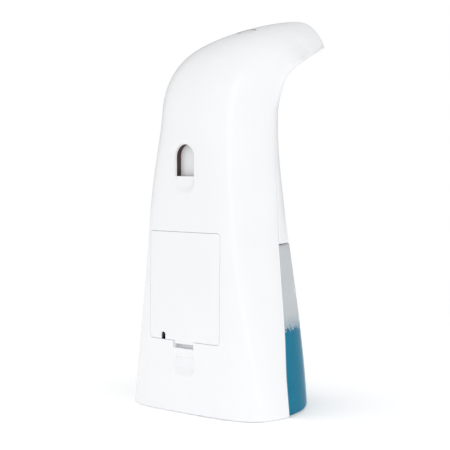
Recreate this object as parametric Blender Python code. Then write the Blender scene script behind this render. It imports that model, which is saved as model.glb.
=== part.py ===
"""Automatic foam soap dispenser with a penguin-shaped body, for a shelf or a wall hook.

The model is in metres, +Z up, origin at the middle of the body's bounding box on the surface it
stands on. The flat back is at +Y and the beak points to -Y; the body is mirror-symmetric in X.
Sizes below are millimetres; a depth q is measured forwards from the wall plane (y = DEPTH/2 - q).
"""

import bmesh
import bpy
import numpy as np
from mathutils import Matrix, Vector

MM = 0.001
GAP = 0.3            # clearance between touching pieces

# --- driving sizes of the skin -------------------------------------------------------------
HEIGHT = 213.0
DEPTH = 112.6        # wall plane to beak tip
NECK_Z = 160.0       # level sections below it, sections that fan over the head above it
WALL = 2.2
BACK_FLAT = 0.05     # the back is exactly flat where its curve would leave the plane by less

# Station t runs 0..1 from base to neck and 1..2 over the head to the beak tip.
HALF_WIDTH = ((0, 49.2), (0.62, 32.0), (1, 28.0), (1.3, 29.6), (1.6, 21.4), (2, 8.0))
WIDEST_AT = ((0, 0.31), (0.62, 0.43), (1, 0.56), (1.5, 0.48), (2, 0.88))
BACK_POWER = ((0, 3.7), (0.62, 6.0), (1, 2.9), (1.35, 2.25), (2, 1.8))
FRONT_POWER = ((0, 1.66), (0.62, 1.95), (1, 2.25), (1.5, 4.2), (2, 5.6))
SEAM_AT = ((0, 0.35), (0.12, 0.378), (0.27, 0.447), (0.55, 0.56), (0.94, 0.73), (1.3, 0.85), (1.6, 0.89),
           (1.85, 0.84), (2, 0.62))
TIP_ROUNDING_FROM = 1.86
TIP_BLUNTNESS = 0.006

# Side-view outlines as cubic curves of (q, z) control points.
CROWN = ((0, NECK_Z), (0, 201.3), (80.4, HEIGHT), (94.4, HEIGHT))
BEAK = ((94.4, HEIGHT), (96.8, HEIGHT), (100.6, 206.8), (DEPTH, 203.1))
FRONT = ((83.4, 0), (79.1, 90), (59.3, 120.5), (59.3, NECK_Z))
UNDERSIDE = ((59.3, NECK_Z), (59.3, 186), (56.1, 180), (112.1, 199.6))
CAVITY_END = 1.86

# --- features ------------------------------------------------------------------------------
BOTTLE_TOP_Z = 88.9
COVER_EDGE_Z = 89.5
BOTTLE_WALL = 1.7
SOAP_LEVEL_Z = 43.8

DOOR_HALF_WIDTH = 25.5
DOOR_Z = (38.5, 96.4)
DOOR_CORNER = 2.0
TAB_HALF_WIDTH = 6.9
TAB_END_Z = 37.0
LATCH_SLOT_Z = 34.6
# Finger recess below the latch: its floor from the bottom up, as (q, z).
RECESS_FLOOR = ((0, 19.5), (1.3, 21.8), (2.4, 24), (2.6, 30.6), (1.3, 31.0), (1.0, LATCH_SLOT_Z + 0.5))
RECESS_HALF_WIDTH = 7.8
DOOR_NOTCH = dict(x=15.0, half_width=1.5, height=4.0)

HOOK = dict(half_width=6.5, bottom=125.7, top=142.4, stop_q=5.4)
HOOK_DISH = dict(half_width=8.6, bottom=116.3, top=144.6, depth=1.6)
BUSHING_RIM = 1.6        # how far the dark lining reaches round the hook opening, behind the wall
BUSHING_SEAT_Q = 2.2

HOOK_BOSS = dict(half_width=10.2, bottom=114.4, top=146.2, front_q=3.2)

BUTTON_Q = 50.0
BUTTON_RADIUS = 5.0
BUTTON_TRAVEL = 1.0

NOZZLE_Q = 84.0
NOZZLE_RADIUS = 6.4
SENSOR_Q = 97.0
SENSOR_RADIUS = 4.4

CELL = dict(radius=5.15, length=43.7, nub_radius=1.9, nub=0.8, pitch=11.0, q=9.9)
BOX = dict(half_width=24.0, q=(4.2, 17.0), z=(41.0, 94.0), wall=1.2)

DECK_Z = (BOTTLE_TOP_Z + 0.85, BOTTLE_TOP_Z + 2.65)   # the chassis shelf that carries the pump
PUMP_Q = 38.0
MOTOR = dict(radius=11.0, length=27.0, nose_radius=3.0)
PUMP = dict(radius=14.0, inner_radius=12.0, height=18.0, shaft_hole=4.2, inlet_q=-8.0, outlet_q=5.0)
PORT = dict(radius=2.2, height=5.0)
FOAM_TUBE_RADIUS = 2.2
SUCTION_TUBE_RADIUS = 1.8
COUPLING_Z = 74.0
COUPLING_RADIUS = 3.0
DIP_TUBE_RADIUS = 1.8
FILLER = dict(q=58.0, radius=9.0)
BASE_SCREW = dict(x=30.0, q=16.0, hole=1.6, head=3.0)

COLOURS = {
    "white_abs": ((0.87, 0.88, 0.90), 0.22, 0.0),
    "clear_bottle": ((0.75, 0.78, 0.80), 0.30, 0.0),
    "blue_soap": ((0.013, 0.212, 0.328), 0.15, 0.0),
    "grey_abs": ((0.35, 0.36, 0.38), 0.45, 0.0),
    "dark_abs": ((0.03, 0.018, 0.018), 0.50, 0.0),
    "black_window": ((0.01, 0.01, 0.012), 0.08, 0.0),
    "silicone": ((0.72, 0.74, 0.76), 0.55, 0.0),
    "steel": ((0.60, 0.60, 0.62), 0.30, 1.0),
    "circuit_board": ((0.02, 0.16, 0.08), 0.45, 0.0),
    "cell_wrap": ((0.06, 0.10, 0.22), 0.30, 0.0),
}


# --- geometry of the skin ------------------------------------------------------------------
def bezier(points, t):
    """Points of a cubic curve: the four control points weighted by the Bernstein polynomials."""
    p = np.asarray(points, float)
    t = np.asarray(t, float)[:, None]
    return (1 - t) ** 3 * p[0] + 3 * (1 - t) ** 2 * t * p[1] + 3 * (1 - t) * t * t * p[2] + t ** 3 * p[3]


def law(knots, t):
    """A smooth value along the body: cubic pieces through the knots that never overshoot them."""
    xk, yk = np.array(knots, float).T
    step = np.diff(xk)
    rise = np.diff(yk) / step
    slope = np.r_[rise[0], np.zeros(len(xk) - 2), rise[-1]]
    for i in range(1, len(xk) - 1):
        if rise[i - 1] * rise[i] > 0:
            near, far = 2 * step[i] + step[i - 1], step[i] + 2 * step[i - 1]
            slope[i] = (near + far) / (near / rise[i - 1] + far / rise[i])
    i = np.clip(np.searchsorted(xk, t, side="right") - 1, 0, len(step) - 1)
    u = (t - xk[i]) / step[i]
    return ((1 + 2 * u) * (1 - u) ** 2 * yk[i] + u * (1 - u) ** 2 * step[i] * slope[i]
            + u * u * (3 - 2 * u) * yk[i + 1] + u * u * (u - 1) * step[i] * slope[i + 1])


def along(curves, share):
    """Points at shares 0..1 of the length of one or more cubic curves laid end to end."""
    u = np.linspace(0, 1, 300)
    pieces = [bezier(c, u) for c in curves]
    line = np.vstack([pieces[0]] + [p[1:] for p in pieces[1:]])
    length = np.r_[0, np.cumsum(np.hypot(*np.diff(line, axis=0).T))]
    length /= length[-1]
    return np.stack([np.interp(share, length, line[:, k]) for k in (0, 1)], 1)


def edges(t):
    """Ends (q, z) of each station's section: on the back or crown, and on the front or underside."""
    t = np.atleast_1d(np.asarray(t, float))
    back, front = np.zeros((len(t), 2)), np.zeros((len(t), 2))
    low = t <= 1
    back[low, 1] = front[low, 1] = t[low] * NECK_Z
    line = bezier(FRONT, np.linspace(0, 1, 300))
    front[low, 0] = np.interp(t[low] * NECK_Z, line[:, 1], line[:, 0])
    back[~low] = along((CROWN, BEAK), t[~low] - 1)
    front[~low] = along((UNDERSIDE,), t[~low] - 1)
    return back, front


def skin_rings(t, angles, inset=0.0):
    """Rings of the skin, moved in by inset: two half superellipses that share the widest line."""
    t = np.asarray(t, float)
    back, front = edges(t)
    length = np.hypot(*(front - back).T)
    toward = (front - back) / length[:, None]
    close = np.clip((t - TIP_ROUNDING_FROM) / (2 - TIP_ROUNDING_FROM), 0, 1)
    half = law(HALF_WIDTH, t) * np.sqrt(1 - close ** 2.2 + TIP_BLUNTNESS) - inset
    span = length - 2 * inset
    widest = (law(WIDEST_AT, t) * span)[:, None]
    sine, cosine = np.sin(angles)[None], np.cos(angles)[None]
    rear = cosine >= 0
    power = np.where(rear, law(BACK_POWER, t)[:, None], law(FRONT_POWER, t)[:, None])
    x = half[:, None] * np.sign(sine) * np.abs(sine) ** (2 / power)
    reach = np.abs(cosine) ** (2 / power)
    s = np.where(rear, widest * (1 - reach), widest + (span[:, None] - widest) * reach)
    s = np.where(rear & (s < BACK_FLAT), 0, s) + inset
    q = back[:, :1] + toward[:, :1] * s
    z = back[:, 1:] + toward[:, 1:] * s
    return np.stack([x, q, z], -1)


def seam_line(t):
    """Side-view points (q, z) of the parting line between the rear housing and the front pieces."""
    back, front = edges(t)
    return back + (front - back) * law(SEAM_AT, np.asarray(t, float))[:, None]


def crown_point(q):
    """Point and outward direction (q, z) of the top outline at a depth q."""
    line = along((CROWN, BEAK), np.linspace(0, 1, 600))
    i = int(np.argmin(np.abs(line[:, 0] - q)))
    run = line[i + 1] - line[i - 1]
    run /= np.hypot(*run)
    return line[i], np.array([-run[1], run[0]])


def underside_point(q):
    """Point and outward direction (q, z) of the beak's underside at a depth q."""
    line = along((UNDERSIDE,), np.linspace(0, 1, 600))
    line = line[300:]
    i = int(np.argmin(np.abs(line[:, 0] - q)))
    run = line[i + 1] - line[i - 1]
    run /= np.hypot(*run)
    return line[i], np.array([run[1], -run[0]])


# --- object makers -------------------------------------------------------------------------
def world(x, q, z):
    return Vector((x * MM, (DEPTH / 2 - q) * MM, z * MM))


def material(name):
    found = bpy.data.materials.get(name)
    if found:
        return found
    colour, roughness, metallic = COLOURS[name]
    made = bpy.data.materials.new(name)
    made.use_nodes = True
    shader = made.node_tree.nodes["Principled BSDF"]
    shader.inputs["Base Color"].default_value = (*colour, 1)
    shader.inputs["Roughness"].default_value = roughness
    shader.inputs["Metallic"].default_value = metallic
    made.diffuse_color = (*colour, 1)
    return made


def add(name, bm, finish, smooth=40):
    """An object from a bmesh, faces outwards; with no finish it is a cutter and isn't built."""
    bmesh.ops.recalc_face_normals(bm, faces=bm.faces)
    mesh = bpy.data.meshes.new(name)
    bm.to_mesh(mesh)
    bm.free()
    made = bpy.data.objects.new(name, mesh)
    bpy.context.scene.collection.objects.link(made)
    if finish:
        mesh.materials.append(material(finish))
        mesh.shade_smooth()
        mesh.set_sharp_from_angle(angle=np.radians(smooth))
    else:
        made.hide_render = True
        made.display_type = "WIRE"
    return made


def loft(name, rings, finish=None):
    """A closed solid through rings of (x, q, z) points, capped at both ends."""
    bm = bmesh.new()
    rows = [[bm.verts.new(world(*p)) for p in ring] for ring in rings]
    for low, high in zip(rows, rows[1:]):
        for i in range(len(low)):
            j = (i + 1) % len(low)
            bm.faces.new((low[i], low[j], high[j], high[i]))
    bm.faces.new(rows[0])
    bm.faces.new(rows[-1])
    return add(name, bm, finish)


def skin_solid(name, inset, t_low, t_high, rows, columns, finish=None, z_low=None):
    """The body's form moved in by inset between two stations; z_low carries it straight down to that height."""
    head = t_high > 1
    t = np.linspace(t_low, min(t_high, 1), rows)
    if head:
        share = np.linspace(0, 1, rows + 1)[1:]
        t = np.r_[t, 1 + (t_high - 1) * np.sin(share * np.pi / 2)]
    angles = np.linspace(-np.pi, np.pi, columns, endpoint=False)
    rings = skin_rings(t, angles, inset)
    if z_low is not None:
        below = rings[:1].copy()
        below[..., 2] = z_low
        rings = np.vstack([below, rings])
    return loft(name, rings, finish)


def side_prism(name, outline, half_width, finish=None):
    """A side-view outline of (q, z) points extruded across the body."""
    return loft(name, [[(x, q, z) for q, z in outline] for x in (-half_width, half_width)], finish)


def back_prism(name, outline, q_low, q_high, finish=None):
    """An outline of (x, z) points extruded forwards from one depth to another."""
    return loft(name, [[(x, q, z) for x, z in outline] for q in (q_low, q_high)], finish)


def block(name, x, q, z, finish=None):
    """A box from its (low, high) limits."""
    return back_prism(name, [(x[0], z[0]), (x[1], z[0]), (x[1], z[1]), (x[0], z[1])], q[0], q[1], finish)


def rounded_outline(half_width, low, high, radius, steps=4):
    """A rounded rectangle of (x, z) points, centred on x = 0."""
    points = []
    corners = ((half_width, low, -90), (half_width, high, 0), (-half_width, high, 90), (-half_width, low, 180))
    for x, z, start in corners:
        cx, cz = x - np.sign(x) * radius, z + (radius if z == low else -radius)
        for a in np.radians(np.linspace(start, start + 90, steps)):
            points.append((cx + radius * np.cos(a), cz + radius * np.sin(a)))
    return points


def arch_outline(half_width, low, high, x=0.0, steps=12):
    """A slot of (x, z) points with a flat bottom and a half-round top."""
    top = [(x + half_width * np.cos(a), high - half_width + half_width * np.sin(a))
           for a in np.linspace(0, np.pi, steps)]
    return [(x - half_width, low), (x + half_width, low)] + top


def turned(name, profile, centre, direction, finish=None, sides=24):
    """A round piece: (radius, height) points turned about an axis through a centre point."""
    bm = bmesh.new()
    turns = np.linspace(0, 2 * np.pi, sides, endpoint=False)
    rows = []
    for radius, height in profile:
        if radius == 0:
            rows.append([bm.verts.new((0, 0, height * MM))])
        else:
            rows.append([bm.verts.new((radius * MM * np.cos(a), radius * MM * np.sin(a), height * MM))
                         for a in turns])
    pairs = list(zip(rows, rows[1:]))
    if profile[0][0] and profile[-1][0]:
        pairs.append((rows[-1], rows[0]))
    for low, high in pairs:
        for i in range(sides):
            j = (i + 1) % sides
            corners = [low[i % len(low)], low[j % len(low)], high[j % len(high)], high[i % len(high)]]
            bm.faces.new(list(dict.fromkeys(corners)))
    made = add(name, bm, finish)
    turn = Vector((0, 0, 1)).rotation_difference(Vector(direction))
    made.matrix_world = Matrix.Translation(world(*centre)) @ turn.to_matrix().to_4x4()
    return made


def rod(name, radius, low, high, centre, direction, finish=None, sides=24):
    """A plain round bar from one height to another along its axis."""
    return turned(name, [(0, low), (radius, low), (radius, high), (0, high)], centre, direction, finish, sides)


def ring(name, outer, inner, low, high, centre, direction, finish, sides=24):
    """A round sleeve."""
    profile = [(inner, low), (outer, low), (outer, high), (inner, high)]
    return turned(name, profile, centre, direction, finish, sides)


def hose(name, route, radius, finish, step=3.0, resolution=2):
    """A flexible tube along a smooth curve through the route's points (x, q, z)."""
    route = np.array(route, float)
    share = np.r_[0, np.cumsum(np.linalg.norm(np.diff(route, axis=0), axis=1))]
    count = max(6, int(share[-1] / step))
    stations = np.linspace(0, share[-1], count)
    points = np.stack([law(np.stack([share, route[:, k]], 1), stations) for k in range(3)], 1)
    curve = bpy.data.curves.new(name, "CURVE")
    curve.dimensions = "3D"
    curve.bevel_depth = radius * MM
    curve.bevel_resolution = resolution
    curve.use_fill_caps = True
    line = curve.splines.new("POLY")
    line.points.add(count - 1)
    for point, place in zip(line.points, points):
        point.co = (*world(*place), 1)
    curve.materials.append(material(finish))
    made = bpy.data.objects.new(name, curve)
    bpy.context.scene.collection.objects.link(made)
    return made


def combine(target, other, how="DIFFERENCE"):
    """Cuts, joins or intersects target with another object."""
    step = target.modifiers.new(f"{how.lower()} {other.name}", "BOOLEAN")
    step.operation = how
    step.solver = "EXACT"
    step.object = other


def oriented(direction):
    """World direction of a side-view direction (q, z)."""
    return (0.0, -float(direction[0]), float(direction[1]))


def dip_tube_line():
    """Foot, direction and length of the straight tube that hangs from the coupling to the bottle's floor."""
    seam_q = seam_line([COUPLING_Z / NECK_Z])[0, 0]
    top, foot = np.array([seam_q + 5.6, COUPLING_Z - 4.4]), np.array([seam_q + 12.0, 4.0])
    return (0, *foot), oriented(top - foot), float(np.hypot(*(top - foot)))


# --- shared cutters ------------------------------------------------------------------------
def front_zone(name, forward, z_low, z_high=None):
    """Everything in front of the parting line, moved forwards a little; level limits below and above."""
    t_high = 2.0 if z_high is None else z_high / NECK_Z
    t_low = max(z_low, 0) / NECK_Z
    line = seam_line(np.r_[np.linspace(t_low, min(t_high, 1), 8, endpoint=z_high is not None),
                           [] if z_high is not None else 1 + np.sin(np.linspace(0, np.pi / 2, 14))])
    run = np.gradient(line, axis=0)
    run /= np.hypot(*run.T)[:, None]
    line = line + forward * np.stack([run[:, 1], -run[:, 0]], 1)
    line[0, 1] = z_low
    far = DEPTH + 12
    if z_high is None:
        tail = [line[-1] + run[-1] * 12, (far + 12, line[-1, 1]), (far + 12, z_low)]
    else:
        line[-1, 1] = z_high
        tail = [(far, z_high), (far, z_low)]
    return side_prism(name, [tuple(p) for p in line] + [tuple(p) for p in tail], 70)


def scoop(name, floor, outline, reach):
    """A hollow in the back: a side-view floor of (q, z) points, kept inside an outline of (x, z) points."""
    made = side_prism(name, list(floor) + [(-3, floor[-1][1]), (-3, floor[0][1])], 30)
    combine(made, back_prism(f"{name}_outline", outline, -5, reach), "INTERSECT")
    return made


# --- casing --------------------------------------------------------------------------------
def make_housing():
    housing = skin_solid("main_housing", 0, 0, 2, 13, 44, "white_abs")
    cavity = skin_solid("housing_cavity", WALL, 0, CAVITY_END, 10, 36, z_low=-3)
    combine(housing, cavity)
    combine(housing, front_zone("front_zone_wide", -GAP / 2, -5))
    boss = arch_outline(HOOK_BOSS["half_width"], HOOK_BOSS["bottom"], HOOK_BOSS["top"])
    combine(housing, back_prism("hook_boss", boss, 1, HOOK_BOSS["front_q"]), "UNION")
    dish = HOOK_DISH
    dish_floor = [(0, dish["bottom"]), (0.7 * dish["depth"], dish["bottom"] + 2.5),
                  (dish["depth"], dish["bottom"] + 6), (dish["depth"], dish["top"])]
    outline = rounded_outline(dish["half_width"], dish["bottom"], dish["top"], 7.5, 8)
    combine(housing, scoop("hook_dish", dish_floor, outline, 5))
    hole = arch_outline(HOOK["half_width"], HOOK["bottom"], HOOK["top"])
    combine(housing, back_prism("hook_hole", hole, -5, 12))
    edge = BUSHING_RIM + GAP
    seat = arch_outline(HOOK["half_width"] + edge, HOOK["bottom"] - edge, HOOK["top"] + edge)
    combine(housing, back_prism("bushing_seat", seat, BUSHING_SEAT_Q, 12))
    recess_block = back_prism("recess_block", rounded_outline(9.6, 17.8, LATCH_SLOT_Z, 2), 1, 4.2)
    combine(housing, recess_block, "UNION")
    opening = rounded_outline(DOOR_HALF_WIDTH, *DOOR_Z, DOOR_CORNER)
    combine(housing, back_prism("door_opening", opening, -5, 3.9))
    combine(housing, block("latch_slot", (-TAB_HALF_WIDTH - GAP, TAB_HALF_WIDTH + GAP), (-5, 3.9),
                           (LATCH_SLOT_Z, DOOR_Z[0] + 1)))
    outline = rounded_outline(RECESS_HALF_WIDTH, RECESS_FLOOR[0][1], LATCH_SLOT_Z + 9, 4, 6)
    combine(housing, scoop("finger_recess", RECESS_FLOOR, outline, 5))
    point, outward = crown_point(BUTTON_Q)
    combine(housing, rod("button_hole", BUTTON_RADIUS + GAP, -6, 6, (0, *point), oriented(outward)))


def make_front_cover():
    cover = skin_solid("front_cover", 0, 0.5, 2, 12, 44, "white_abs")
    cavity = skin_solid("cover_cavity", WALL, 0.45, CAVITY_END, 10, 36)
    combine(cover, cavity)
    combine(cover, front_zone("front_zone_upper", GAP / 2, COVER_EDGE_Z), "INTERSECT")
    holes = (("nozzle_hole", NOZZLE_Q, NOZZLE_RADIUS), ("sensor_hole", SENSOR_Q, SENSOR_RADIUS))
    for name, q, radius in holes:
        point, outward = underside_point(q)
        combine(cover, rod(name, radius + GAP, -5, 5, (0, *point), oriented(outward)))


def make_battery_door():
    door = skin_solid("battery_cover", 0, 0.15, 0.72, 9, 44, "white_abs")
    combine(door, skin_solid("door_cavity", WALL, 0.1, 0.77, 8, 36))
    inner = rounded_outline(DOOR_HALF_WIDTH - GAP, DOOR_Z[0] + GAP, DOOR_Z[1] - GAP, DOOR_CORNER)
    combine(door, back_prism("door_outline", inner, -5, 3.6), "INTERSECT")
    combine(door, block("latch_tab", (-TAB_HALF_WIDTH, TAB_HALF_WIDTH), (0.4, 1.9),
                        (TAB_END_Z, DOOR_Z[0] + 3)), "UNION")
    notch = arch_outline(DOOR_NOTCH["half_width"], DOOR_Z[0] - 1, DOOR_Z[0] + DOOR_NOTCH["height"],
                         DOOR_NOTCH["x"])
    combine(door, back_prism("door_notch", notch, -5, 6))


def make_base_plate():
    plate = skin_solid("base_plate", WALL + GAP, 0, 0.02, 2, 36, "white_abs")
    combine(plate, front_zone("front_zone_base", -2.6, -5), "DIFFERENCE")
    for side in (-1, 1):
        place, up = (BASE_SCREW["x"] * side, BASE_SCREW["q"], 0), (0, 0, 1)
        combine(plate, rod(f"base_screw_hole_{side}", BASE_SCREW["hole"], -3, 8, place, up, sides=16))
        combine(plate, rod(f"base_screw_seat_{side}", BASE_SCREW["head"], -3, 1.5, place, up, sides=16))
        screw = [(0, 0.2), (2.6, 0.2), (2.6, 1.3), (1.2, 1.3), (1.2, 9), (0, 10)]
        turned(f"base_screw_{'left' if side < 0 else 'right'}", screw, place, up, "steel", 12)


def make_hook_parts():
    """A dark lining round the hook opening and the white plate that stops the hook behind it."""
    low, high = BUSHING_SEAT_Q + GAP, HOOK["stop_q"] - GAP
    outline = arch_outline(HOOK["half_width"] + BUSHING_RIM, HOOK["bottom"] - BUSHING_RIM,
                           HOOK["top"] + BUSHING_RIM)
    bushing = back_prism("hook_bushing", outline, low, high, "dark_abs")
    hole = arch_outline(HOOK["half_width"], HOOK["bottom"], HOOK["top"])
    combine(bushing, back_prism("bushing_hole", hole, 0, 12))
    plate = arch_outline(HOOK_BOSS["half_width"], HOOK_BOSS["bottom"], HOOK_BOSS["top"])
    back_prism("hook_stop_plate", plate, HOOK["stop_q"], HOOK["stop_q"] + 1.4, "white_abs")


def make_chassis():
    chassis = skin_solid("chassis", WALL + 0.4, 0, 0.66, 8, 36, "grey_abs")
    z_low, deck, deck_rear_q = 4.0, DECK_Z, 22.6
    front = seam_line(np.linspace(z_low, deck[0], 6) / NECK_Z)
    front[:, 1] = np.linspace(z_low, deck[0], 6)
    wall_front = [(q - 0.6, z) for q, z in front]
    wall_back = [(q - 2.2, z) for q, z in front[::-1]]
    shelf = [(90, deck[0]), (90, deck[1]), (deck_rear_q, deck[1]), (deck_rear_q, deck[0])]
    outline = wall_front + shelf + wall_back
    combine(chassis, side_prism("chassis_outline", outline, 60), "INTERSECT")
    combine(chassis, rod("coupling_hole", 4.8, -12, 12, (0, 36, COUPLING_Z), (0, 1, 0)))


# --- batteries -----------------------------------------------------------------------------
def make_batteries():
    box = block("battery_box", (-BOX["half_width"], BOX["half_width"]), BOX["q"], BOX["z"], "grey_abs")
    wall = BOX["wall"]
    inner_x = BOX["half_width"] - wall
    inner_z = (BOX["z"][0] + wall, BOX["z"][1] - wall)
    combine(box, block("box_hollow", (-inner_x, inner_x), (0, BOX["q"][1] - wall), inner_z))
    strip = 0.4
    low, high = inner_z[0] + GAP, inner_z[1] - GAP
    for name, z in (("contact_strip_bottom", low), ("contact_strip_top", high - strip)):
        block(name, (-inner_x + GAP, inner_x - GAP), (BOX["q"][0] + 1, BOX["q"][1] - wall - GAP),
              (z, z + strip), "steel")
    total = CELL["length"] + CELL["nub"]
    floor, ceiling = low + strip + GAP, high - strip - GAP
    for i in range(4):
        x = (i - 1.5) * CELL["pitch"]
        r = CELL["radius"]
        profile = [(0, 0), (r - 0.4, 0), (r, 0.4), (r, CELL["length"] - 0.4), (r - 0.4, CELL["length"]),
                   (CELL["nub_radius"], CELL["length"]), (CELL["nub_radius"], total), (0, total)]
        name = f"battery_cell_{i + 1}"
        if i % 2:
            turned(name, profile, (x, CELL["q"], ceiling - total), (0, 0, 1), "cell_wrap", 20)
            spring_low, spring_high = floor, ceiling - total - GAP
        else:
            turned(name, profile, (x, CELL["q"], floor + total), (0, 0, -1), "cell_wrap", 20)
            spring_low, spring_high = floor + total + GAP, ceiling
        make_spring(f"battery_spring_{i + 1}", x, CELL["q"], spring_low, spring_high)


def make_spring(name, x, q, z_low, z_high, coils=3, wire=0.3, radius=3.2, per_turn=12):
    """A coil spring: a thin tube whose centre goes round and up at an even rate."""
    turns = np.linspace(0, coils, coils * per_turn + 1)
    low, high = z_low + wire, z_high - wire
    curve = bpy.data.curves.new(name, "CURVE")
    curve.dimensions = "3D"
    curve.bevel_depth = wire * MM
    curve.bevel_resolution = 0
    curve.use_fill_caps = True
    line = curve.splines.new("POLY")
    line.points.add(len(turns) - 1)
    for point, turn in zip(line.points, turns):
        angle = 2 * np.pi * turn
        place = world(x + radius * np.cos(angle), q + radius * np.sin(angle), low + (high - low) * turn / coils)
        point.co = (*place, 1)
    curve.materials.append(material("steel"))
    bpy.context.scene.collection.objects.link(bpy.data.objects.new(name, curve))


# --- pump and foam path --------------------------------------------------------------------
def make_pump():
    up = (0, 0, 1)
    deck_top = DECK_Z[1]
    motor_low = deck_top + 2.2
    motor_high = motor_low + MOTOR["length"]
    bracket_half = 13.0
    back_prism("motor_bracket", rounded_outline(16, deck_top + GAP, deck_top + 1.9, 0.6, 2),
               PUMP_Q - bracket_half, PUMP_Q + bracket_half, "steel")
    r = MOTOR["radius"]
    motor = [(0, motor_low), (r - 0.5, motor_low), (r, motor_low + 0.5), (r, motor_high - 0.5),
             (r - 0.5, motor_high), (MOTOR["nose_radius"], motor_high),
             (MOTOR["nose_radius"], motor_high + 1.2), (0, motor_high + 1.2)]
    turned("pump_motor", motor, (0, PUMP_Q, 0), up, "steel")
    r, inner, hole = PUMP["radius"], PUMP["inner_radius"], PUMP["shaft_hole"]
    body_low = motor_high + 1.5
    body_high = body_low + PUMP["height"]
    turned("pump_body", [(hole, body_low), (r - 0.2, body_low), (r, body_low + 0.3), (r, body_high),
                         (inner, body_high), (inner, body_low + 2), (hole, body_low + 2)],
           (0, PUMP_Q, 0), up, "grey_abs", 28)
    crank = [(0, body_low), (1.0, body_low), (1.0, body_low + 4), (7, body_low + 4), (7, body_low + 8),
             (0, body_low + 8)]
    shaft = turned("motor_shaft", crank, (0, PUMP_Q, 0), up, "steel", 20)
    combine(shaft, rod("crank_pin", 1.5, body_low + 7.5, body_low + 12, (3.5, PUMP_Q, 0), up, sides=12), "UNION")
    rim = inner - 0.4
    diaphragm = [(0, body_high - 3.5), (6, body_high - 3.5), (7, body_high - 1.6), (rim, body_high - 1.6),
                 (rim, body_high - 0.4), (0, body_high - 0.4)]
    turned("pump_diaphragm", diaphragm, (0, PUMP_Q, 0), up, "silicone", 24)
    head = turned("pump_head", [(0, body_high + GAP), (r, body_high + GAP), (r, body_high + 4),
                                (r - 1, body_high + 5), (0, body_high + 5)], (0, PUMP_Q, 0), up, "grey_abs", 28)
    port = body_high + 4.5
    for name, aside in (("outlet_port", PUMP["outlet_q"]), ("inlet_port", PUMP["inlet_q"])):
        place = (0, PUMP_Q + aside, 0)
        combine(head, rod(name, PORT["radius"], port, port + PORT["height"], place, up, sides=16), "UNION")
    return port + PORT["height"]


def make_foam_path(port_top):
    point, outward = underside_point(NOZZLE_Q)
    axis = oriented(outward)
    r = NOZZLE_RADIUS
    body = [(3.6, 0.8), (r - 0.6, 0.8), (r, 0.3), (r, -1.9), (r - 1.2, -2.6), (r - 1.2, -9.0),
            (r - 2.0, -9.8), (1.2, -9.8), (1.2, -7.0), (3.6, -6.0)]
    nozzle = turned("foam_nozzle", body, (0, *point), axis, "grey_abs", 28)
    rod("foam_mesh", 3.3, -1.8, -1.2, (0, *point), axis, "steel", 20)
    rearward = np.array([outward[1], -outward[0]])
    inlet = point - outward * 6.6
    combine(nozzle, rod("nozzle_inlet", 1.9, 4.4, 9.5, (0, *inlet), oriented(rearward), sides=16), "UNION")
    end = inlet + rearward * (9.5 + GAP)
    outlet = PUMP_Q + PUMP["outlet_q"]
    hose("foam_tube", [(0, outlet, port_top + GAP), (0, outlet + 0.4, port_top + 12),
                       (0, PUMP_Q + 8, port_top + 25), (0, PUMP_Q + 15, port_top + 37),
                       (0, *(end + rearward * 10 - outward * 2.5)), (0, *(end + rearward * 3)), (0, *end)],
         FOAM_TUBE_RADIUS, "silicone", 4, 3)


def make_suction(port_top):
    seam_q = seam_line([COUPLING_Z / NECK_Z])[0, 0]
    ring("coupling_seal", 4.4, 3.1, 0.8, 5.0, (0, seam_q, COUPLING_Z), (0, 1, 0), "silicone", 20)
    nipple = [(0, -8), (3.6, -8), (3.6, -6.5), (2.7, -6.5), (2.7, 4.6), (0, 4.6)]
    turned("bottle_coupling", nipple, (0, seam_q, COUPLING_Z), (0, 1, 0), "silicone", 20)
    foot, axis, length = dip_tube_line()
    rod("dip_tube", DIP_TUBE_RADIUS, 0, length, foot, axis, "silicone", 16)
    behind = seam_q - 4.6 - GAP
    hose("suction_tube", [(0, behind, COUPLING_Z), (0, behind - 4.5, COUPLING_Z + 0.5),
                          (3, behind - 9.5, COUPLING_Z + 6), (8, 19.8, COUPLING_Z + 16),
                          (14, 21.5, 101), (17.5, 25, 113), (17.5, 26, 130), (12, 27, port_top + 3),
                          (4, 29.5, port_top + 7), (0, PUMP_Q + PUMP["inlet_q"], port_top + 5),
                          (0, PUMP_Q + PUMP["inlet_q"], port_top + GAP)], SUCTION_TUBE_RADIUS, "silicone", 4)


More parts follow.
